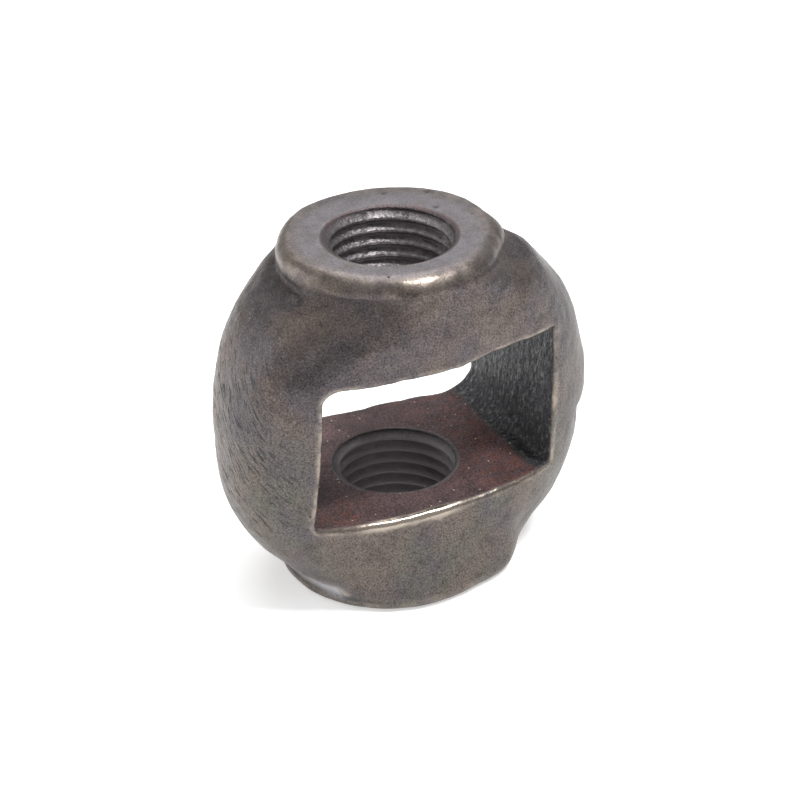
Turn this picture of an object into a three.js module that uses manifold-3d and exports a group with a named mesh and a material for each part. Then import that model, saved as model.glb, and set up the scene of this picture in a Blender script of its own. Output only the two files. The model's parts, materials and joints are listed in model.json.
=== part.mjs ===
// Lamp hickey: a stirrup-shaped fitting cast in one piece of malleable iron.
// Two round bosses, threaded right through on one axis, are joined by two bowed arms
// around an open window, where wires leave the pipe and locknuts are reached.
//
// Millimetres, +Z up along the bore axis, origin at the centre of the bottom face.
// The arms lie along X and the window is open along Y.

import * as THREE from 'three'
import { ParametricGeometry } from 'three/addons/geometries/ParametricGeometry.js'
import { mergeVertices } from 'three/addons/utils/BufferGeometryUtils.js'
import Module from 'manifold-3d'

const wasm = await Module()
wasm.setup()

// ---- driving dimensions -------------------------------------------------------------

const height = 38.1 // face to face, 1-1/2 in

const bossRadius = { bottom: 12.4, top: 11.5 } // at the face
const bossWaist = { bottom: 0.45, top: 0 } // narrowing per millimetre from the face inwards
const rimRadius = 1.4 // rounding of each boss's outer rim

const armReach = 20.5 // from the bore axis to the outside of an arm
const armWidestHeight = 16.9
const armSpan = { below: 17.3, above: 20.4 } // from the widest height to where the bow would close
const armSquareness = 2.5 // 2 is a plain ellipse, more is squarer

const halfDepth = 11.5 // from the bore axis to the front or back of the band, at mid-height
const depthSpan = 25.7 // from mid-height to where the front and back would meet
const depthSquareness = 3.1
const planSquareness = { bottom: 2.3, top: 2.6 } // of the band's outline seen along the bore

const neckBlend = { bottom: 5.2, top: 1.6 } // width of the hollow blend from boss to arm
const neckChange = 6 // height over which the bottom figures give way to the top ones

const windowFloor = 11.3
const windowCeiling = 27.5
const windowHalfWidth = 13.7
const windowCornerRadius = 1.5

const threadPitch = 25.4 / 18 // 1/4-18 straight pipe thread
const threadMajorRadius = 6.85
const threadMinorRadius = 6.0
const threadFlat = 0.13 // width of a crest or root, as a share of the pitch
const mouthRadius = 7.1 // of the 45 degree countersink at each end of each bore

const overrun = 2 // how far each cutter runs past what it cuts
const countersinkMargin = 0.2 // how far a countersink's tip lies inside the thread crests

// ---- mesh fineness ------------------------------------------------------------------

const bodySlices = 60
const bodyRows = 30
const threadSlices = 24
const windowCornerSegments = 4

// ---- solids from geometry, and back ---------------------------------------------------

/** Makes a solid of a closed geometry, once its shared corners are merged. */
function toSolid(geometry) {
  geometry.deleteAttribute('normal')
  geometry.deleteAttribute('uv')
  const merged = mergeVertices(geometry)
  const corners = merged.index.array
  const triangles = []
  for (let i = 0; i < corners.length; i += 3) {
    const [a, b, c] = corners.slice(i, i + 3)
    if (a !== b && b !== c && c !== a) triangles.push(a, b, c)
  }
  const mesh = new wasm.Mesh({
    numProp: 3,
    vertProperties: merged.attributes.position.array,
    triVerts: new Uint32Array(triangles),
  })
  return new wasm.Manifold(mesh)
}

/** Makes a flat-shaded geometry of a solid. */
function toGeometry(solid) {
  const mesh = solid.getMesh()
  const geometry = new THREE.BufferGeometry()
  geometry.setAttribute('position', new THREE.BufferAttribute(mesh.vertProperties, 3))
  geometry.setIndex(new THREE.BufferAttribute(mesh.triVerts, 1))
  geometry.computeVertexNormals()
  return geometry
}

// ---- outside of the casting -----------------------------------------------------------

/** Half-width of a rounded outline of the given reach, at a distance along its span. */
function bow(reach, distance, span, squareness) {
  const share = Math.min(distance / span, 0.9999)
  return reach * (1 - share ** squareness) ** (1 / squareness)
}

/** The larger of two radii, with a hollow blend where they are close. */
function blendedMax(a, b, width) {
  const overlap = Math.max(width - Math.abs(a - b), 0) / width
  return Math.max(a, b) + (overlap * overlap * width) / 4
}

/** A figure that goes smoothly from its bottom value to its top value around mid-height. */
function atHeight(figure, z) {
  const topShare = 0.5 + 0.5 * Math.tanh((z - height / 2) / neckChange)
  return THREE.MathUtils.lerp(figure.bottom, figure.top, topShare)
}

/** Radius of the band that the arms belong to, at an angle about the bore and a height. */
function bandRadius(angle, z) {
  const span = z > armWidestHeight ? armSpan.above : armSpan.below
  const reach = bow(armReach, Math.abs(z - armWidestHeight), span, armSquareness)
  const depth = bow(halfDepth, Math.abs(z - height / 2), depthSpan, depthSquareness)
  const power = atHeight(planSquareness, z)
  const along = Math.abs(Math.cos(angle) / reach) ** power
  const across = Math.abs(Math.sin(angle) / depth) ** power
  return (along + across) ** (-1 / power)
}

/** Radius of the whole outside, at an angle about the bore and a height. */
function outsideRadius(angle, z) {
  const fromFace = Math.min(z, height - z)
  const boss = atHeight(bossRadius, z) - atHeight(bossWaist, z) * fromFace
  const rimDrop = Math.max(rimRadius - fromFace, 0)
  const rimCut = rimRadius - Math.sqrt(rimRadius ** 2 - rimDrop ** 2)
  return blendedMax(boss, bandRadius(angle, z), atHeight(neckBlend, z)) - rimCut
}

/** The casting with no holes. Its rows are closest together at the two faces. */
function makeCasting() {
  const rows = bodyRows + 2
  const surface = (u, v, target) => {
    const row = Math.round(v * rows)
    const share = THREE.MathUtils.clamp((row - 1) / bodyRows, 0, 1)
    const z = (height / 2) * (1 - Math.cos(Math.PI * share))
    const angle = 2 * Math.PI * u
    const radius = row === 0 || row === rows ? 0 : outsideRadius(angle, z)
    target.set(radius * Math.cos(angle), radius * Math.sin(angle), z)
  }
  return toSolid(new ParametricGeometry(surface, bodySlices, rows))
}

// ---- cutters --------------------------------------------------------------------------

/** A bar along Y, of the window's outline. */
function makeWindowCutter() {
  const r = windowCornerRadius
  const left = -windowHalfWidth
  const right = windowHalfWidth
  const outline = new THREE.Shape()
  outline.absarc(right - r, windowFloor + r, r, -Math.PI / 2, 0)
  outline.absarc(right - r, windowCeiling - r, r, 0, Math.PI / 2)
  outline.absarc(left + r, windowCeiling - r, r, Math.PI / 2, Math.PI)
  outline.absarc(left + r, windowFloor + r, r, Math.PI, (3 * Math.PI) / 2)
  const length = 2 * (bossRadius.bottom + overrun)
  const options = { depth: length, bevelEnabled: false, curveSegments: windowCornerSegments }
  const bar = new THREE.ExtrudeGeometry(outline, options)
  bar.rotateX(Math.PI / 2)
  bar.translate(0, length / 2, 0)
  return toSolid(bar)
}

/** A tap long enough for both bosses, so one continuous right-hand thread runs through them. */
function makeTap() {
  const lowest = -overrun
  const highest = height + overrun
  const profile = [
    { rise: 0, radius: threadMajorRadius },
    { rise: threadFlat, radius: threadMajorRadius },
    { rise: 0.5, radius: threadMinorRadius },
    { rise: 0.5 + threadFlat, radius: threadMinorRadius },
  ]
  const turns = Math.ceil((highest - lowest) / threadPitch) + 2
  const rows = turns * profile.length + 2
  const surface = (u, v, target) => {
    const row = Math.round(v * rows)
    const onAxis = row === 0 || row === rows
    const step = THREE.MathUtils.clamp(row - 1, 0, rows - 2)
    const corner = profile[step % profile.length]
    const turn = Math.floor(step / profile.length) - 1 + u
    const z = lowest + threadPitch * (turn + corner.rise)
    const inside = z > lowest && z < highest
    const radius = inside ? corner.radius : threadMinorRadius
    const angle = 2 * Math.PI * u
    target.set(Math.cos(angle), Math.sin(angle), 0).multiplyScalar(onAxis ? 0 : radius)
    target.z = THREE.MathUtils.clamp(z, lowest, highest)
  }
  return toSolid(new ParametricGeometry(surface, threadSlices, rows))
}

/** A 45 degree countersink in the flat at height z; facing is 1 where the flat looks up. */
function makeCountersink(z, facing) {
  const innerRadius = threadMinorRadius - countersinkMargin
  const outerRadius = mouthRadius + overrun
  const depth = outerRadius - innerRadius
  const cone = new THREE.CylinderGeometry(outerRadius, innerRadius, depth, threadSlices)
  cone.rotateX((facing * Math.PI) / 2)
  cone.translate(0, 0, z + facing * ((outerRadius + innerRadius) / 2 - mouthRadius))
  return toSolid(cone)
}

// ---- the part -------------------------------------------------------------------------

function makeHickeyBody() {
  const mouths = [
    [0, -1],
    [windowFloor, 1],
    [windowCeiling, -1],
    [height, 1],
  ]
  let solid = makeCasting().subtract(makeWindowCutter()).subtract(makeTap())
  for (const [z, facing] of mouths) solid = solid.subtract(makeCountersink(z, facing))
  return toGeometry(solid)
}

const iron = new THREE.MeshStandardMaterial({ color: 0x5b5350, roughness: 0.5, metalness: 0.8 })

const hickeyBody = new THREE.Mesh(makeHickeyBody(), iron)
hickeyBody.name = 'hickey_body'

const hickey = new THREE.Group()
hickey.add(hickeyBody)

export default hickey
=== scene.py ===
"""Looks of a lamp hickey: one piece of old malleable iron, cast in sand, tapped and handled.

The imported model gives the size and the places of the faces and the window. The casting is made
again here as one fine mesh, with its worn edges, its tapped threads and the marks of the mould.
Lengths are in millimetres, and turn into metres where a mesh, a light or the camera is made.
"""
import json
import math

import bpy
import numpy as np
from mathutils import Matrix, Vector


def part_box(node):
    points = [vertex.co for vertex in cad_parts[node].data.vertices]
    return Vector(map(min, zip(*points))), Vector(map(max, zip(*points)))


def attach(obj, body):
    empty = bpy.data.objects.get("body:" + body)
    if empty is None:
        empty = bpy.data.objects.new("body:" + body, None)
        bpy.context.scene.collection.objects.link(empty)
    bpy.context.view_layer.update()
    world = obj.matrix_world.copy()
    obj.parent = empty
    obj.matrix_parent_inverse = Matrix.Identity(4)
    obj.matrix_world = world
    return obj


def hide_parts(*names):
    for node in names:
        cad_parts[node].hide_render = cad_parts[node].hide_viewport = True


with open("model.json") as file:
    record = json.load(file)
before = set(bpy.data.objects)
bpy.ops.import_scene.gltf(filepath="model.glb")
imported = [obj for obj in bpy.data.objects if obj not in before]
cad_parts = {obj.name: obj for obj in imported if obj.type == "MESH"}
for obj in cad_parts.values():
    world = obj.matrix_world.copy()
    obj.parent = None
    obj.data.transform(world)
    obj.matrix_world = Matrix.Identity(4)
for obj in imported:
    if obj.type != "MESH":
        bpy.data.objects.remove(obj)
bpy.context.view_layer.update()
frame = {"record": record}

MM = 0.001

# ---- sizes taken from the frame ---------------------------------------------------------

NODE = "hickey_body"
LOW, HIGH = (np.array(corner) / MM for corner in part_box(NODE))
HEIGHT = HIGH[2] - LOW[2]
REACH = (HIGH[0] - LOW[0]) / 2

mounts = {mount["name"]: np.array(mount["pos_m"]) / MM for mount in frame["record"]["mounts"]}
WINDOW_FLOOR = mounts["window_floor_seat"][2]
WINDOW_CEILING = mounts["window_ceiling_seat"][2]

# ---- shape of the casting ---------------------------------------------------------------

BOSS_RADIUS = (12.4, 11.6)      # bottom, top
BOSS_WAIST = (0.45, 0.0)        # narrowing per millimetre from the face inwards
RIM_RADIUS = (1.4, 1.3)         # bottom, top
FRONT_RIM = 2.0                 # of the top boss, worn rounder at the front
FRONT_RIM_RANGE = (-3, 9)       # forward of the axis: where the rim starts to widen, and is widest

ARM_REACH = (REACH - 1.3, REACH + 1.25)         # left, right: the arms aren't quite alike
ARM_MIDDLE = (17.35, 16.3)      # height where the arms are widest: left, right
ARM_SPAN_BELOW = (17.3, 17.2)   # from there to where the bow would close: left, right
ARM_SPAN_ABOVE = (19.8, 21.1)
ARM_SQUARENESS = (2.4, 2.6)     # bottom, top
ARM_LEAST = 9.0                 # reach that the arms keep inside the bosses
SIDE_SHARPNESS = 4              # of the change from the left figures to the right ones
ALMOST_CLOSED = 0.9999          # share of its span that a bow is followed to

HALF_DEPTH = 11.5
DEPTH_SPAN = (25.7, 60.0)       # bottom, top
DEPTH_SQUARENESS = 3.1
PLAN_SQUARENESS = (2.3, 2.6)    # bottom, top

NECK_BLEND = (5.2, 1.6)         # bottom, top
NECK_CHANGE = 6.0               # height over which the bottom figures give way to the top ones
FRONT_BLEND = 2.4               # how much softer the top neck is at the front
FRONT_CUT = (0.8, 1.35)         # and how much that leaves to take off again: below, at the face
FRONT_CUT_FROM = 31             # height where the cut starts to grow

BACK_BULGE = 0.9                # of the lower boss at the back
BACK_BULGE_ANGLE = (1.95, 0.4)  # middle and width, in radians
BACK_BULGE_HEIGHT = (10, 7)     # middle and width

SHIFT_X = -0.3                  # of the casting against the bore axis
SHIFT_Y = 0.4
LEAN_X = 0.025                  # sideways lean per millimetre of height

WINDOW_LEFT = (-13.4, -12.1)    # at the floor, at the ceiling
WINDOW_RIGHT = (14.0, 14.5)
CORNER_LEFT = (0.4, 1.8)        # rounding between wall and floor, wall and ceiling
CORNER_RIGHT = (1.3, 0.4)
CORNER_CHANGE = 4               # distance over which the left corners give way to the right ones
CORNER_GROWTH = 0.22            # how much larger the right corners get, per millimetre to the back
CORNER_GROWTH_RANGE = (0.4, 3.6)

CEILING_STEP = 0.35             # the ceiling's front edge is lower on the left, higher on the right
STEP_RIGHT = (2.4, 5.7)         # distance from the axis where the step starts, and is full
STEP_LEFT = (4, 10)
STEP_FRONT = (7, 10)

SILL_EDGE = (0.75, 0.6)         # rounding of the window's outer edges, at the floor: left, right
SILL_CHANGE = (0, 5)            # where along x the left figure starts and ends its change
SILL_HEIGHT = 4                 # above the floor, where the plain edge is reached
WINDOW_EDGE = 0.45              # rounding of the window's other outer edges

THREAD_PITCH = 25.4 / 18        # 18 to the inch
THREAD_START = 0.48             # in turns
THREAD_MAJOR = 6.95
THREAD_MINOR = 6.15
THREAD_CREST = 0.12             # share of the pitch that is flat on the crests
THREAD_ROOT = 0.05              # and in the roots
MOUTH_RADIUS = 7.15             # where the tap was led in: at the top and the bottom
INNER_MOUTH_RADIUS = 6.65       # and at the window
MOUTH_SLOPE = 1.7               # how fast a mouth narrows, per millimetre of depth
MOUTH_BLEND = 0.1               # between the mouth and the thread
MOUTH_EDGE = 0.05               # rounding

CELL = 0.2                      # of the grid that the surface is drawn through
MARGIN_CELLS = 3                # round the frame's box, besides the millimetre for the relief
TRIANGLE_LIMIT = 190_000
LEAST_STEEPNESS = 0.05          # of a field, squared, so that no vertex is thrown far
TINY = 0.001


# ---- fields: negative inside the metal ----------------------------------------------------

def between(pair, share):
    return pair[0] + (pair[1] - pair[0]) * share


def rising(value, low, high):
    """From 0 at low to 1 at high, and even between."""
    return np.clip((value - low) / (high - low), 0, 1)


def bow(reach, distance, span, squareness):
    """Half-width of a rounded outline of the given reach, at a distance along its span."""
    share = np.minimum(distance / span, ALMOST_CLOSED)
    return reach * (1 - share ** squareness) ** (1 / squareness)


def blended_max(a, b, width):
    """The larger of two values, with a smooth step where they are close."""
    overlap = np.maximum(width - np.abs(a - b), 0) / width
    return np.maximum(a, b) + overlap * overlap * width / 4


def rounded_meet(a, b, radius):
    """Field of the space inside both a and b, with the edge between them rounded."""
    across = np.hypot(np.maximum(a + radius, 0), np.maximum(b + radius, 0))
    return np.minimum(np.maximum(a, b), -radius) + across


def outside_radius(angle, z):
    """Radius of the casting's outside, at an angle about its own axis and a height."""
    right = 0.5 + 0.5 * np.tanh(SIDE_SHARPNESS * np.cos(angle))
    top = 0.5 + 0.5 * np.tanh((z - HEIGHT / 2) / NECK_CHANGE)
    rise = z - between(ARM_MIDDLE, right)
    span = np.where(rise > 0, between(ARM_SPAN_ABOVE, right), between(ARM_SPAN_BELOW, right))
    reach = bow(between(ARM_REACH, right), np.abs(rise), span, between(ARM_SQUARENESS, top))
    reach = np.maximum(reach, ARM_LEAST)
    depth = bow(HALF_DEPTH, np.abs(z - HEIGHT / 2), between(DEPTH_SPAN, top), DEPTH_SQUARENESS)
    power = between(PLAN_SQUARENESS, top)
    along = np.abs(np.cos(angle) / reach) ** power
    across = np.abs(np.sin(angle) / depth) ** power
    band = (along + across) ** (-1 / power)
    turned = (angle - BACK_BULGE_ANGLE[0]) / BACK_BULGE_ANGLE[1]
    raised = (z - BACK_BULGE_HEIGHT[0]) / BACK_BULGE_HEIGHT[1]
    band += BACK_BULGE * np.exp(-turned ** 2 - raised ** 2)
    from_face = np.minimum(z, HEIGHT - z)
    boss = between(BOSS_RADIUS, top) - between(BOSS_WAIST, top) * np.clip(from_face, 0, HEIGHT / 2)
    front = np.maximum(-np.sin(angle), 0) ** 2 * top
    blend = between(NECK_BLEND, top) + FRONT_BLEND * front
    cut = between(FRONT_CUT, rising(z, FRONT_CUT_FROM, HEIGHT)) * front
    return blended_max(boss, band, blend) - cut


def outside_field(points):
    """Negative inside the casting's outline, before anything is cut out of it."""
    x, y, z = points.T
    inner_z = np.clip(z, 0, HEIGHT)
    x = x - SHIFT_X - LEAN_X * (z - HEIGHT / 2)
    y = y - SHIFT_Y
    side = np.hypot(x, y) - outside_radius(np.arctan2(y, x), inner_z)
    faces = np.abs(z - HEIGHT / 2) - HEIGHT / 2
    top_rim = between((RIM_RADIUS[1], FRONT_RIM), rising(-y, *FRONT_RIM_RANGE))
    return rounded_meet(side, faces, np.where(z > HEIGHT / 2, top_rim, RIM_RADIUS[0]))


def window_field(points):
    """Negative in the window."""
    x, y, z = points.T
    share = np.clip((z - WINDOW_FLOOR) / (WINDOW_CEILING - WINDOW_FLOOR), 0, 1)
    walls = np.maximum(between(WINDOW_LEFT, share) - x, x - between(WINDOW_RIGHT, share))
    step = CEILING_STEP * (rising(x, *STEP_RIGHT) - rising(-x, *STEP_LEFT)) * rising(-y, *STEP_FRONT)
    flats = np.maximum(WINDOW_FLOOR - z, z - WINDOW_CEILING - step)
    right = 0.5 + 0.5 * np.tanh(x / CORNER_CHANGE)
    grown = np.clip(1 + CORNER_GROWTH * y, *CORNER_GROWTH_RANGE)
    corner = between((between(CORNER_LEFT, share), between(CORNER_RIGHT, share) * grown), right)
    return rounded_meet(walls, flats, corner)


def bore_field(points):
    """Negative in the tapped bores, with their threads and mouths."""
    x, y, z = points.T
    turn = z / THREAD_PITCH - np.arctan2(y, x) / (2 * math.pi) + THREAD_START
    ramp = 2 * np.abs(turn - np.floor(turn) - 0.5)
    thread = between((THREAD_MINOR, THREAD_MAJOR), rising(ramp, THREAD_CREST, 1 - THREAD_ROOT))
    outer_depth = np.minimum(np.abs(z), np.abs(z - HEIGHT))
    inner_depth = np.minimum(np.abs(z - WINDOW_FLOOR), np.abs(z - WINDOW_CEILING))
    outer = MOUTH_RADIUS - MOUTH_SLOPE * outer_depth
    inner = INNER_MOUTH_RADIUS - MOUTH_SLOPE * inner_depth
    radius = blended_max(thread, np.maximum(outer, inner), MOUTH_BLEND)
    return np.hypot(x, y) - radius


def metal_field(points):
    """Negative in the finished metal."""
    x, y, z = points.T
    sill = between(SILL_EDGE, rising(x, *SILL_CHANGE))
    edge = between((WINDOW_EDGE, sill), rising(z, WINDOW_FLOOR + SILL_HEIGHT, WINDOW_FLOOR))
    solid = rounded_meet(outside_field(points), -window_field(points), edge)
    return rounded_meet(solid, -bore_field(points), MOUTH_EDGE)


# ---- a mesh through a field -------------------------------------------------------------

CORNERS = np.array([(i, j, k) for i in (0, 1) for j in (0, 1) for k in (0, 1)])
EDGES = [(a, b) for a in range(8) for b in range(a + 1, 8)
         if np.abs(CORNERS[a] - CORNERS[b]).sum() == 1]


def sample(field, low, high, cell):
    """Values of the field on a grid, worked out one slab at a time."""
    axes = [np.arange(low[i], high[i] + cell, cell) for i in range(3)]
    slabs = []
    for x in axes[0]:
        y, z = np.meshgrid(axes[1], axes[2], indexing="ij")
        points = np.stack([np.full(y.size, x), y.ravel(), z.ravel()], axis=1)
        slabs.append(field(points).reshape(y.shape))
    return np.array(slabs)


def surface_net(values, low, cell):
    """One vertex in each cell that the surface crosses, one quad round each crossed grid edge."""
    inside = values < 0
    shape = np.array(inside.shape) - 1
    count = np.zeros(shape, np.int8)
    for i, j, k in CORNERS:
        count += inside[i:shape[0] + i, j:shape[1] + j, k:shape[2] + k]
    active = (count > 0) & (count < len(CORNERS))
    cells = np.argwhere(active)
    corner_values = np.stack([values[tuple((cells + corner).T)] for corner in CORNERS], axis=1)
    total = np.zeros((len(cells), 3))
    hits = np.zeros(len(cells))
    for a, b in EDGES:
        start, end = corner_values[:, a], corner_values[:, b]
        crossed = (start < 0) != (end < 0)
        share = np.where(crossed, start / np.where(crossed, start - end, 1), 0)
        total += crossed[:, None] * (CORNERS[a] + share[:, None] * (CORNERS[b] - CORNERS[a]))
        hits += crossed
    vertices = low + cell * (cells + total / hits[:, None])

    number = np.full(active.shape, -1)
    number[active] = np.arange(len(cells))
    quads = []
    for axis in range(3):
        step, side, other = np.roll(np.eye(3, dtype=int), -axis, axis=0)
        trimmed = [slice(1, -1)] * 3
        first, second = list(trimmed), list(trimmed)
        first[axis], second[axis] = slice(0, -1), slice(1, None)
        start, end = inside[tuple(first)], inside[tuple(second)]
        nodes = np.argwhere(start != end) + 1 - step
        ring = [number[tuple((nodes - offset).T)] for offset in (0 * side, side, side + other, other)]
        loops = np.stack(ring, axis=1)
        outward = start[start != end]
        quads.append(np.where(outward[:, None], loops, loops[:, ::-1]))
    return vertices, np.concatenate(quads)


def slope_of(field, points, step=0.01):
    """Gradient of the field, by central differences."""
    slopes = []
    for way in np.eye(3):
        slopes.append((field(points + step * way) - field(points - step * way)) / (2 * step))
    return np.stack(slopes, axis=1)


def settle(field, vertices, cell, rounds=3):
    """Moves each vertex onto the surface itself."""
    for _ in range(rounds):
        slope = slope_of(field, vertices)
        steepness = np.maximum((slope ** 2).sum(axis=1), LEAST_STEEPNESS)
        move = (field(vertices) / steepness)[:, None] * slope
        vertices = vertices - np.clip(move, -cell / 2, cell / 2)
    return vertices


# ---- relief of the cast skin ------------------------------------------------------------

NOISE_SIZE = 32
NOISE_GAIN = 1.6                # brings the values to about -1 to 1


def noise(points, scale, seed):
    """Smooth random values from about -1 to 1 that change over a distance of scale."""
    rng = np.random.default_rng(seed)
    table = rng.normal(size=(NOISE_SIZE, NOISE_SIZE, NOISE_SIZE, 3))
    table /= np.linalg.norm(table, axis=-1, keepdims=True)
    place = points / scale + rng.uniform(0, NOISE_SIZE, 3)
    base = np.floor(place).astype(int)
    share = place - base
    ease = share ** 3 * (share * (6 * share - 15) + 10)
    total = np.zeros(len(points))
    for corner in CORNERS:
        weight = np.prod(np.where(corner, ease, 1 - ease), axis=1)
        i, j, k = ((base + corner) % NOISE_SIZE).T
        total += weight * (table[i, j, k] * (share - corner)).sum(axis=1)
    return NOISE_GAIN * total


def near(points, width, start, end=None):
    """From 0 to 1 towards a point, or towards the straight line between two."""
    gap = points - np.array(start)
    if end is not None:
        way = np.array(end) - np.array(start)
        share = np.clip(gap @ way / (way @ way), 0, 1)
        gap = gap - share[:, None] * way
    return np.exp(-(gap ** 2).sum(axis=1) / width ** 2)


VALLEY = ((-13.5, -8, 30), (-5, -10.3, 35.6))           # slanting hollow at the front left of the neck
VALLEY_WIDTH = 2.0
RIM_SHINE = ((-3.2, -9.6, 37.7), (1.2, -10.4, 37.6))    # where the top rim is worn by handling and a highlight is painted
RIM_SHINE_WIDTH = 0.4
RIM_SHINE_SHARE = 0.3           # of the full worn colour and painted highlight
LIP = ((-13.2, -4.6, 3.7), (-10.2, -8, 2.1))            # ridge over the foot, at the front left
LIP_WIDTH = 0.4
LIP_SHINE_WIDTH = 0.35
SCAR = ((-13, -3.6, 2.8), (-10.9, -6.8, 2.1))           # just under the lip
SCAR_WIDTH = 0.75
SCAR_HIGHLIGHT_WIDTH = 0.9

FACE_PITS = [(x, y, HEIGHT) for x, y in ((3.9, 9.3), (8.0, 7.2), (7.1, 3.5))]
FACE_PIT_DEPTH = 0.6
FACE_PIT_WIDTH = 0.3
FACE_PIT_DARK_WIDTH = 0.35

# Each mark: how far it stands out, or below 0 how deep it goes, its width, and its place,
# which is one point or the two ends of a line.
MARKS = {
    "valley": (-0.45, VALLEY_WIDTH, *VALLEY),
    "knuckle on the right arm": (0.5, 2.6, (21, -3, 19.5), (20.6, -3.5, 17.3)),
    "crease under the knuckle": (-0.45, 1.0, (19.2, -5.5, 14.4), (19.6, -1, 14)),
    "right shoulder": (1.1, 3, (12, -2.5, 34.2)),
    "crack in the shoulder": (-0.2, 0.35, (13.2, -0.5, 35.8), (12.9, -5.2, 33.2)),
    "groove under the left rim": (-0.35, 0.6, (-10.6, 5.5, 35.1), (-11.6, -2.5, 35.1)),
    "back of the top rim": (0.4, 5, (9, 7, 37)),
    "front right of the foot": (0.8, 3, (8, -9.5, 1.2)),
    "hollow over the foot": (-0.35, 2, (11, -8.5, 5)),
    "lip": (0.3, LIP_WIDTH, *LIP),
    "scar": (-0.7, SCAR_WIDTH, *SCAR),
}


def marks(points):
    """Height of the single dents and swellings."""
    height = sum(rise * near(points, *place) for rise, *place in MARKS.values())
    pits = sum(near(points, FACE_PIT_WIDTH, place) for place in FACE_PITS)
    return height - FACE_PIT_DEPTH * pits


SKIN_WAVES = ((0.12, 9), (0.08, 3), (0.035, 1.1))       # height and length, the largest first
EDGE_WAVE = (0.2, 0.08)         # height along the window's outer edges: right, left
EDGE_WAVE_LENGTH = 1.8
EDGE_WAVE_CHANGE = (-3, 0)      # where along -x the right figure starts and ends its change
EDGE_WAVE_REACH = 0.6
TOOLED_FADE = 0.3               # distance over which the relief dies away towards a tooled surface
FACE_SMOOTHING = 0.7            # share of the relief that tooling took off the two faces


def relief(points):
    """Height of the cast skin above the smooth shape."""
    near_bore = np.exp(-np.maximum(bore_field(points), 0) / TOOLED_FADE)
    from_face = np.minimum(np.abs(points[:, 2]), np.abs(points[:, 2] - HEIGHT))
    near_face = np.exp(-from_face / TOOLED_FADE)
    from_edge = np.abs(window_field(points)) + np.abs(outside_field(points))
    near_edge = np.exp(-from_edge / EDGE_WAVE_REACH)
    skin = sum(height * noise(points, length, seed) for seed, (height, length) in enumerate(SKIN_WAVES, 1))
    edge_height = between(EDGE_WAVE, rising(-points[:, 0], *EDGE_WAVE_CHANGE))
    skin += edge_height * near_edge * noise(points, EDGE_WAVE_LENGTH, len(SKIN_WAVES) + 1)
    return (skin + marks(points)) * (1 - near_bore) * (1 - FACE_SMOOTHING * near_face)


# ---- masks: where the iron is worn, rusty or sooty, and where shade and highlights are painted, kept with the mesh ---

BEND_RADIUS = 0.35              # how far round a point its bend is felt
BEND_GAIN = 7


def bend(points):
    """From -1 in a sharp groove, over 0 on a flat, to 1 on a sharp edge."""
    ways = np.array([way for way in np.ndindex(3, 3, 3) if way != (1, 1, 1)]) - 1.0
    ways /= np.linalg.norm(ways, axis=1, keepdims=True)
    around = np.mean([metal_field(points + BEND_RADIUS * way) for way in ways], axis=0)
    return np.clip(BEND_GAIN * (around - metal_field(points)) / BEND_RADIUS, -1, 1)


# In the masks below, the two lengths given to rising say where a mask starts, and where it is full.

def skin_masks(points):
    """Places on the outside of the casting."""
    x, y, z = points.T
    depth = HEIGHT / 2 - np.abs(z - HEIGHT / 2)
    across = np.hypot(x, y)
    return {
        # where shade is painted in the slanting hollow
        "valley": near(points, VALLEY_WIDTH, *VALLEY),
        # where a highlight is painted over the scar
        "scar": near(points, SCAR_HIGHLIGHT_WIDTH, *SCAR),
        "face_pits": sum(near(points, FACE_PIT_DARK_WIDTH, place) for place in FACE_PITS),
        "rim": rising(z, HEIGHT - 1.8, HEIGHT - 0.8) * rising(across, 9, 10.5),
        "face": rising(depth, 0.3, 0.1) * rising(across, 10.6, 9.2),
        "left_end": rising(-x, 14, 18),
        "right_end": rising(x, 14.5, 18),
        # where shade is painted in the left neck
        "neck": rising(z, 33.6, 34.8) * rising(z, 36.8, 35.8) * rising(-x, 5, 9) * rising(y, -7, -2),
        "low": rising(z, 27, 15),
    }


def window_masks(points):
    """Places in the window, and on the edges that handling has worn, with painted highlights on them."""
    x, y, z = points.T
    from_edge = np.abs(window_field(points)) + np.abs(outside_field(points))
    # the sill's front edge, the lip and the front of the top rim: worn colour with a painted highlight
    sill = rising(from_edge, 1.1, 0.7) * (z < WINDOW_FLOOR + 0.5) * (y < 0)
    sill = sill * rising(x, 3, 0) * rising(x, -10, -7)
    lip = near(points, LIP_SHINE_WIDTH, *LIP)
    rim = RIM_SHINE_SHARE * near(points, RIM_SHINE_WIDTH, *RIM_SHINE)
    rubbed_and_painted_highlight = np.maximum(np.maximum(lip, sill), rim)
    cavity = rising(-outside_field(points), 0.3, 0.7) * (window_field(points) < 0.5) * (1 - rubbed_and_painted_highlight)
    return {
        "rubbed_and_painted_highlight": rubbed_and_painted_highlight,
        "cavity": cavity,
        "floor": cavity * rising(z, WINDOW_FLOOR + 1.2, WINDOW_FLOOR + 0.4),
        "rusty": np.maximum(0.8 * rising(x, 2, 9), near(points, 3.5, (-10, -7, WINDOW_FLOOR))),
        "right_wall": cavity * rising(x, 11.5, 12.5),
    }


def bore_masks(points, bore):
    """Places on the cut steel of the bores."""
    x, y, z = points.T
    depth = HEIGHT / 2 - np.abs(z - HEIGHT / 2)
    return {
        "bore": bore,
        "lower_bore": bore * (z < HEIGHT / 2),
        "crest": rising(np.hypot(x, y), THREAD_MINOR + 0.3, THREAD_MINOR),
        "mouth": bore * rising(depth, 0.35, 0.1),
        "mouth_wall": bore * rising(depth, 0.9, 0.5),
        "inner_mouth": bore * rising(np.abs(z - WINDOW_FLOOR), 0.7, 0.3),
    }


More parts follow.
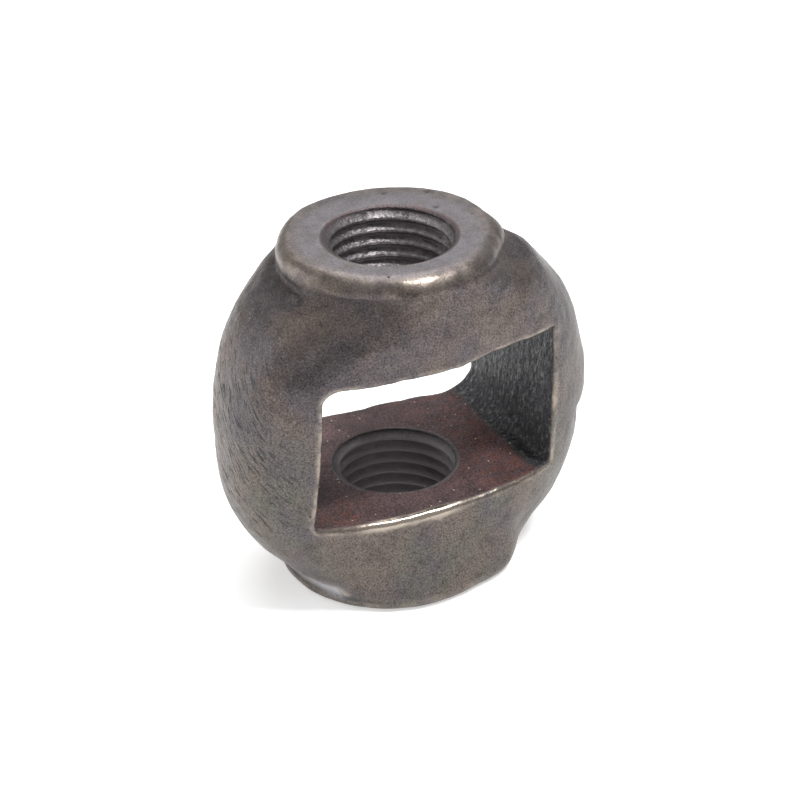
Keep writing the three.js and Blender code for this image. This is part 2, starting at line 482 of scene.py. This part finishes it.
def masks(points):
    """Everything that the material reads from the mesh, by name."""
    bent = bend(points)
    bore = rising(bore_field(points), 0.12, 0.02)
    return {
        "edge": np.maximum(bent, 0),
        "groove": np.maximum(-bent, 0) * (1 - 0.7 * bore),
        **skin_masks(points),
        **window_masks(points),
        **bore_masks(points, bore),
    }


# ---- the piece --------------------------------------------------------------------------

def new_object(name, vertices, faces):
    mesh = bpy.data.meshes.new(name)
    mesh.from_pydata((vertices * MM).tolist(), [], faces.tolist())
    piece = bpy.data.objects.new(name, mesh)
    bpy.context.scene.collection.objects.link(piece)
    return piece


def apply_modifiers(piece):
    """Puts what the piece's modifiers make into its own mesh."""
    graph = bpy.context.evaluated_depsgraph_get()
    made = bpy.data.meshes.new_from_object(piece.evaluated_get(graph))
    piece.modifiers.clear()
    piece.data = made


def add_masks(mesh):
    places = np.empty(3 * len(mesh.vertices))
    mesh.vertices.foreach_get("co", places)
    for name, values in masks(places.reshape(-1, 3) / MM).items():
        mesh.attributes.new(name, "FLOAT", "POINT").data.foreach_set("value", values)


def make_casting():
    cell = CELL
    margin = MARGIN_CELLS * cell
    low = LOW - margin - 1
    high = HIGH + margin + 1
    vertices, quads = surface_net(sample(metal_field, low, high, cell), low, cell)
    vertices = settle(metal_field, vertices, cell)
    normals = slope_of(metal_field, vertices)
    normals /= np.maximum(np.linalg.norm(normals, axis=1, keepdims=True), TINY)
    vertices += relief(vertices)[:, None] * normals
    piece = new_object("hickey", vertices, quads)
    if 2 * len(quads) > TRIANGLE_LIMIT:
        thin = piece.modifiers.new("thin", "DECIMATE")
        thin.ratio = TRIANGLE_LIMIT / (2 * len(quads))
        apply_modifiers(piece)
    piece.data.shade_smooth()
    add_masks(piece.data)
    return piece


# ---- material ---------------------------------------------------------------------------

def tint(red, green, blue):
    """Colour of light, from one given as an sRGB screen shows it, from 0 to 255."""
    screen = np.array((red, green, blue)) / 255
    return (*(((screen + 0.055) / 1.055) ** 2.4), 1)


MIX_INPUTS = (0, 6, 7)          # sockets of a Mix node that blends colours: share, first, second
MIX_OUTPUT = 2
COAT = {"Coat Weight": 0.12, "Coat Roughness": 0.2, "Coat IOR": 1.6}


class Shading:
    """One material, built up in layers from the skin outwards."""

    def __init__(self, name, colour, roughness, metallic):
        self.material = bpy.data.materials.new(name)
        self.material.use_nodes = True
        self.tree = self.material.node_tree
        place = self.add("ShaderNodeVectorMath", "SCALE")
        self.put(place.inputs[0], self.add("ShaderNodeTexCoord").outputs["Object"])
        self.put(place.inputs["Scale"], 1 / MM)
        self.place = place.outputs[0]
        self.colour, self.roughness, self.metallic = colour, roughness, metallic
        self.height = 0.0

    def add(self, kind, operation=None):
        node = self.tree.nodes.new(kind)
        if operation:
            node.operation = operation
        return node

    def put(self, socket, value):
        """Links an output to the socket, or sets the socket's own value."""
        if isinstance(value, bpy.types.NodeSocket):
            self.tree.links.new(value, socket)
        else:
            socket.default_value = value

    def mask(self, name):
        node = self.add("ShaderNodeAttribute")
        node.attribute_name = name
        return node.outputs["Fac"]

    def mapped(self, size, turn):
        """Places scaled to the given size, one for all axes or one for each, and turned."""
        node = self.add("ShaderNodeMapping")
        node.vector_type = "TEXTURE"
        self.put(node.inputs["Vector"], self.place)
        self.put(node.inputs["Scale"], size if isinstance(size, tuple) else (size, size, size))
        self.put(node.inputs["Rotation"], turn)
        return node.outputs["Vector"]

    def noise(self, size, detail=2.0, turn=(0, 0, 0)):
        """Noise about 0.5, with marks of the given size, in millimetres, turned in radians."""
        node = self.add("ShaderNodeTexNoise")
        self.put(node.inputs["Vector"], self.mapped(size, turn))
        self.put(node.inputs["Scale"], 1.0)
        self.put(node.inputs["Detail"], detail)
        return node.outputs["Fac"]

    def spots(self, spacing, radius):
        """Round spots about one spacing apart, which fade over the outer half of their radius."""
        node = self.add("ShaderNodeTexVoronoi")
        self.put(node.inputs["Vector"], self.mapped(spacing, (0, 0, 0)))
        self.put(node.inputs["Scale"], 1.0)
        share = radius / spacing
        return self.span(node.outputs["Distance"], share, 0.5 * share)

    def span(self, value, low, high, start=0.0, end=1.0):
        """Start at low, end at high, and even between."""
        node = self.add("ShaderNodeMapRange")
        for name, setting in (("Value", value), ("From Min", low), ("From Max", high)):
            self.put(node.inputs[name], setting)
        self.put(node.inputs["To Min"], start)
        self.put(node.inputs["To Max"], end)
        return node.outputs["Result"]

    def patches(self, size, low, high, least=0.0, most=1.0, detail=2.0, turn=(0, 0, 0)):
        """Patches of noise: least where the noise is at low, and most where it is at high."""
        return self.span(self.noise(size, detail, turn), low, high, least, most)

    def maths(self, operation, first, second):
        node = self.add("ShaderNodeMath", operation)
        self.put(node.inputs[0], first)
        self.put(node.inputs[1], second)
        return node.outputs[0]

    def product(self, *factors):
        total = factors[0]
        for factor in factors[1:]:
            total = self.maths("MULTIPLY", total, factor)
        return total

    def blend(self, share, first, second):
        node = self.add("ShaderNodeMix")
        node.data_type = "RGBA"
        for socket, value in zip(MIX_INPUTS, (share, first, second)):
            self.put(node.inputs[socket], value)
        return node.outputs[MIX_OUTPUT]

    def cover(self, share, colour, roughness=None, metallic=None):
        """Lays a film over a share of the surface. What isn't given stays as it was."""
        self.colour = self.blend(share, self.colour, colour)
        if roughness is not None:
            self.roughness = self.span(share, 0.0, 1.0, self.roughness, roughness)
        if metallic is not None:
            self.metallic = self.span(share, 0.0, 1.0, self.metallic, metallic)

    def shade(self, factor):
        """Multiplies the colour by a factor, so that it gets lighter or darker."""
        node = self.add("ShaderNodeVectorMath", "SCALE")
        self.put(node.inputs[0], self.colour)
        self.put(node.inputs["Scale"], factor)
        self.colour = node.outputs[0]

    def raise_by(self, height, share=1.0):
        """Adds a relief, in millimetres, that only the light sees."""
        self.height = self.maths("ADD", self.height, self.product(height, share))

    def finished(self):
        shader = self.tree.nodes["Principled BSDF"]
        bump = self.add("ShaderNodeBump")
        self.put(bump.inputs["Distance"], MM)
        self.put(bump.inputs["Height"], self.height)
        self.put(shader.inputs["Normal"], bump.outputs["Normal"])
        self.put(shader.inputs["Base Color"], self.colour)
        self.put(shader.inputs["Roughness"], self.roughness)
        self.put(shader.inputs["Metallic"], self.metallic)
        self.put(shader.inputs["Coat Normal"], bump.outputs["Normal"])
        for name, value in COAT.items():
            self.put(shader.inputs[name], value)
        return self.material


COOL_SKIN = tint(84, 78, 81)
OLIVE_SKIN = tint(90, 87, 81)
WARM_SKIN = tint(102, 91, 84)
# dark oxide; also used as painted shade in the slanting hollow, the creases and the left neck
DARK_SKIN_AND_PAINTED_SHADE = tint(54, 49, 49)
FACE_SKIN = tint(124, 119, 123)
# pale worn iron; also used for painted highlights and glints
WORN_IRON_AND_PAINTED_HIGHLIGHT = tint(186, 174, 160)
BROWN_RUST = tint(104, 79, 80)
RED_RUST = tint(116, 72, 60)
SOOT = tint(64, 64, 68)
PALE_CRUST = tint(128, 132, 128)
BORE_STEEL = tint(124, 119, 122)
LOWER_STEEL = tint(142, 136, 139)
# bright cut steel; also a painted highlight
CREST_STEEL_AND_PAINTED_HIGHLIGHT = tint(196, 190, 186)
PAINTED_SCAR_HIGHLIGHT = tint(212, 212, 218)
DUST = tint(220, 206, 190)

BARK_TURN = (math.radians(50), 0, 0)    # slant of the dashes
PITTED_TURN = (0, 1, 0)         # so that the two crowds don't follow the stains or each other
GLINTING_TURN = (0, 0, 1)


def add_skin(iron):
    """Brown and grey oxide, mottled and grainy, and glossier where it is dark, with painted shade in the
    slanting hollow and the left neck, and the right arm's end painted darker.
    """
    iron.cover(iron.product(iron.mask("low"), iron.patches(4.0, 0.35, 0.55)), OLIVE_SKIN)
    iron.cover(iron.patches(6.0, 0.4, 0.62, most=0.8), WARM_SKIN)
    iron.cover(iron.patches(1.6, 0.5, 0.72, most=0.5, detail=3), DARK_SKIN_AND_PAINTED_SHADE, roughness=0.34)
    # painted shade: darkens the slanting hollow at the front left of the neck
    iron.cover(iron.product(iron.mask("valley"), 0.35), DARK_SKIN_AND_PAINTED_SHADE)
    # painted shade in the left neck, broken into patches: it darkens the reflection that the hollow under
    # the top rim catches
    stain_and_painted_shade = iron.patches(1.2, 0.35, 0.65, least=0.3, most=0.9, detail=4)
    iron.cover(iron.product(iron.mask("neck"), stain_and_painted_shade), DARK_SKIN_AND_PAINTED_SHADE, roughness=0.6)
    # the right arm's end is painted darker
    iron.cover(iron.product(iron.mask("right_end"), 0.45), DARK_SKIN_AND_PAINTED_SHADE, roughness=0.5)
    cleaned = iron.patches(2.0, 0.3, 0.6, least=0.4, most=0.9, detail=3)
    iron.cover(iron.product(iron.mask("face"), cleaned), FACE_SKIN)
    grain = iron.patches(0.18, 0.32, 0.68, least=0.45, most=1.6, detail=4)
    iron.shade(iron.span(iron.product(iron.mask("face"), 0.5), 0, 1, grain, 1))
    handled = iron.maths("MAXIMUM", iron.mask("rim"), iron.mask("rubbed_and_painted_highlight"))
    rough = iron.span(handled, 0, 1, 1, 0.3)
    iron.raise_by(iron.noise(0.25, detail=3), iron.product(rough, 0.04))
    iron.raise_by(iron.noise(1.3), iron.product(rough, 0.06))


def add_wear(iron):
    """Edges worn pale, painted shade in the grooves, painted highlights on the worn lip, sill and top rim,
    and a painted highlight over the scar.
    """
    patchy = iron.patches(1.4, 0.38, 0.62, least=0.2, detail=4)
    # painted shade in grooves and creases
    iron.cover(iron.product(iron.mask("groove"), 0.6), DARK_SKIN_AND_PAINTED_SHADE, roughness=0.7, metallic=0.3)
    iron.cover(iron.product(iron.mask("rim"), patchy, 0.12), WORN_IRON_AND_PAINTED_HIGHLIGHT, roughness=0.2, metallic=0.85)
    iron.cover(iron.product(iron.mask("edge"), patchy, 0.5), WORN_IRON_AND_PAINTED_HIGHLIGHT, roughness=0.15, metallic=0.9)
    # painted highlight: a pale patch on the ledge under the lip, standing for the floor's light reflected
    # there
    iron.cover(iron.product(iron.mask("scar"), 0.9), PAINTED_SCAR_HIGHLIGHT, roughness=0.5, metallic=0.3)
    # painted highlights along the worn lip, sill and top rim
    iron.cover(iron.product(iron.mask("rubbed_and_painted_highlight"), 0.8), WORN_IRON_AND_PAINTED_HIGHLIGHT, roughness=0.15, metallic=0.9)


def add_pits(iron):
    """Dark pits, alone and in crowds, and crowds of painted glints."""
    iron.cover(iron.mask("face_pits"), DARK_SKIN_AND_PAINTED_SHADE, roughness=0.8, metallic=0.1)
    pits = iron.spots(2.3, 0.16)
    iron.cover(pits, DARK_SKIN_AND_PAINTED_SHADE, roughness=0.8, metallic=0.1)
    iron.raise_by(pits, -0.06)
    pitted = iron.patches(2.0, 0.5, 0.6, detail=3, turn=PITTED_TURN)
    iron.cover(iron.product(iron.spots(0.6, 0.1), pitted, 0.7), DARK_SKIN_AND_PAINTED_SHADE, roughness=0.8, metallic=0.1)
    # painted glints: crowds of pale specks that stand for sparkle
    glinting = iron.patches(3.0, 0.5, 0.6, detail=3, turn=GLINTING_TURN)
    iron.cover(iron.product(iron.spots(0.8, 0.07), glinting, 0.6), WORN_IRON_AND_PAINTED_HIGHLIGHT, roughness=0.2, metallic=0.9)


def add_bark(iron):
    """Slanting dashes on the left arm's end."""
    left_end = iron.mask("left_end")
    dashes = iron.patches((1.5, 1.8, 0.25), 0.6, 0.66, detail=1, turn=BARK_TURN)
    share = iron.product(dashes, left_end, iron.patches(3.0, 0.4, 0.5))
    iron.cover(share, SOOT, roughness=0.8, metallic=0.2)
    iron.raise_by(share, -0.2)
    iron.raise_by(iron.noise((1.5, 2.0, 0.7), turn=BARK_TURN), iron.product(left_end, 0.15))


def add_cavity(iron):
    """Rust on the window's floor, and dark crust on its walls."""
    cavity, floor, wall = (iron.mask(name) for name in ("cavity", "floor", "right_wall"))
    iron.cover(cavity, DARK_SKIN_AND_PAINTED_SHADE, roughness=0.75, metallic=0.2)
    brown = iron.patches(3.0, 0.35, 0.6, least=0.5, detail=4)
    iron.cover(iron.product(floor, brown), BROWN_RUST, roughness=0.7, metallic=0.1)
    red = iron.patches(1.2, 0.4, 0.65, most=0.9, detail=5)
    iron.cover(iron.product(floor, iron.mask("rusty"), red), RED_RUST, roughness=0.75, metallic=0.0)
    iron.cover(wall, SOOT, roughness=0.6, metallic=0.3)
    streaks = iron.patches((0.5, 0.5, 0.9), 0.5, 0.7, most=0.7, detail=3)
    iron.cover(iron.product(wall, streaks), PALE_CRUST, roughness=0.6)
    grain = iron.patches(0.22, 0.32, 0.68, least=0.35, most=1.6, detail=3)
    iron.shade(iron.span(cavity, 0, 1, 1, grain))
    iron.raise_by(iron.noise(0.35, detail=5), iron.product(cavity, 0.16))
    iron.raise_by(iron.noise((0.8, 0.8, 1.1), detail=3), iron.product(wall, 0.5))
    iron.cover(iron.product(floor, iron.spots(1.1, 0.12)), DUST, roughness=0.7, metallic=0.0)


def add_bores(iron):
    """Cut threads, worn bright with a painted highlight on the upper bore's crests, and brown in the
    roots.
    """
    bore, lower_bore = iron.mask("bore"), iron.mask("lower_bore")
    iron.cover(bore, BORE_STEEL, roughness=0.38, metallic=0.8)
    iron.cover(lower_bore, LOWER_STEEL, roughness=0.55, metallic=0.3)
    iron.raise_by(iron.noise(0.25, detail=3), iron.product(bore, 0.05))
    # the upper bore's crests: worn steel with a painted highlight; the lower bore's crests get none
    wear_and_painted_highlight = iron.patches(0.5, 0.45, 0.62, most=0.5, detail=4)
    bright = iron.product(iron.maths("SUBTRACT", bore, lower_bore), iron.mask("crest"), wear_and_painted_highlight)
    iron.cover(bright, CREST_STEEL_AND_PAINTED_HIGHLIGHT, roughness=0.3, metallic=0.9)
    iron.cover(iron.product(bore, iron.mask("groove"), 0.3), BROWN_RUST, roughness=0.6, metallic=0.3)
    iron.cover(iron.product(iron.mask("mouth_wall"), 0.55), DARK_SKIN_AND_PAINTED_SHADE, roughness=0.5)
    stain_and_painted_shade = iron.patches(1.5, 0.4, 0.6, least=0.2, most=0.6)
    iron.cover(iron.product(iron.mask("mouth"), stain_and_painted_shade), BROWN_RUST, roughness=0.5, metallic=0.4)
    iron.cover(iron.product(iron.mask("inner_mouth"), 0.75), DARK_SKIN_AND_PAINTED_SHADE, roughness=0.6, metallic=0.2)


def make_iron():
    iron = Shading("old_iron", COOL_SKIN, roughness=0.42, metallic=0.75)
    for layer in (add_skin, add_wear, add_pits, add_bark, add_cavity, add_bores):
        layer(iron)
    return iron.finished()


# ---- stage, light and camera --------------------------------------------------------------

AIM = (0.5, -0.24, 18.66)
DISTANCE = 232.5
AZIMUTH = 26.1                  # of the camera, round from -Y towards -X, in degrees
ELEVATION = 30.1
ROLL = -1.6
LENS = 98.8
NEAREST_SEEN = 10

# Each lamp, a square box: its direction from the casting, distance, side and power in watts.
LAMPS = {
    "top_box": ((0.1, 0.2, 1), 400, 400, 1.1),
    "key_box": ((0.28, -0.35, 0.9), 420, 60, 0.8),
    "left_box": ((-1, 0.6, 0.25), 400, 250, 0.3),
    "back_box": ((0.38, 0.78, 0.5), 400, 200, 0.08),
}

TABLE_SIDE = 6000
TABLE_GREY = 0.92
TABLE_ROUGHNESS = 0.9
TABLE_GLOW = 0.45
STUDIO_LIGHT = 0.45
WHITE = (1, 1, 1, 1)


def make_camera():
    azimuth, elevation, roll = (math.radians(angle) for angle in (AZIMUTH, ELEVATION, ROLL))
    flat_share = math.cos(elevation)
    ahead = Vector((math.sin(azimuth) * flat_share, math.cos(azimuth) * flat_share, -math.sin(elevation)))
    level = Vector((math.cos(azimuth), -math.sin(azimuth), 0))
    rise = level.cross(ahead)
    right = math.cos(roll) * level + math.sin(roll) * rise
    up = right.cross(ahead)
    camera = bpy.data.objects.new("camera", bpy.data.cameras.new("camera"))
    bpy.context.scene.collection.objects.link(camera)
    camera.data.lens = LENS
    camera.data.clip_start = NEAREST_SEEN * MM
    turn = Matrix((right, up, -ahead)).transposed().to_4x4()
    camera.matrix_world = Matrix.Translation((Vector(AIM) - DISTANCE * ahead) * MM) @ turn
    bpy.context.scene.camera = camera


def make_lamp(name, direction, distance, side, power):
    lamp = bpy.data.lights.new(name, "AREA")
    lamp.shape = "SQUARE"
    lamp.size = side * MM
    lamp.energy = power
    light = bpy.data.objects.new(name, lamp)
    way = Vector(direction).normalized()
    light.location = (Vector(AIM) + distance * way) * MM
    light.rotation_euler = way.to_track_quat("Z", "Y").to_euler()
    bpy.context.scene.collection.objects.link(light)


def make_table():
    """A pale floor that glows a little, so that only the contact shadow shows on it."""
    half = TABLE_SIDE / 2
    corners = np.array([(-half, -half, 0), (half, -half, 0), (half, half, 0), (-half, half, 0)], float)
    floor = new_object("floor", corners, np.array([(0, 1, 2, 3)]))
    material = bpy.data.materials.new("white_table")
    material.use_nodes = True
    shader = material.node_tree.nodes["Principled BSDF"]
    shader.inputs["Base Color"].default_value = (TABLE_GREY, TABLE_GREY, TABLE_GREY, 1)
    shader.inputs["Roughness"].default_value = TABLE_ROUGHNESS
    shader.inputs["Emission Color"].default_value = WHITE
    shader.inputs["Emission Strength"].default_value = TABLE_GLOW
    floor.data.materials.append(material)


def make_studio():
    """Even white light from all round, and the lamps."""
    world = bpy.data.worlds.new("studio")
    world.use_nodes = True
    background = world.node_tree.nodes["Background"]
    background.inputs["Color"].default_value = WHITE
    background.inputs["Strength"].default_value = STUDIO_LIGHT
    bpy.context.scene.world = world
    for name, settings in LAMPS.items():
        make_lamp(name, *settings)
    bpy.context.scene.view_settings.view_transform = "Standard"


make_camera()
make_table()
make_studio()
hickey = make_casting()
hickey.data.materials.append(make_iron())
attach(hickey, "root")
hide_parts(NODE)
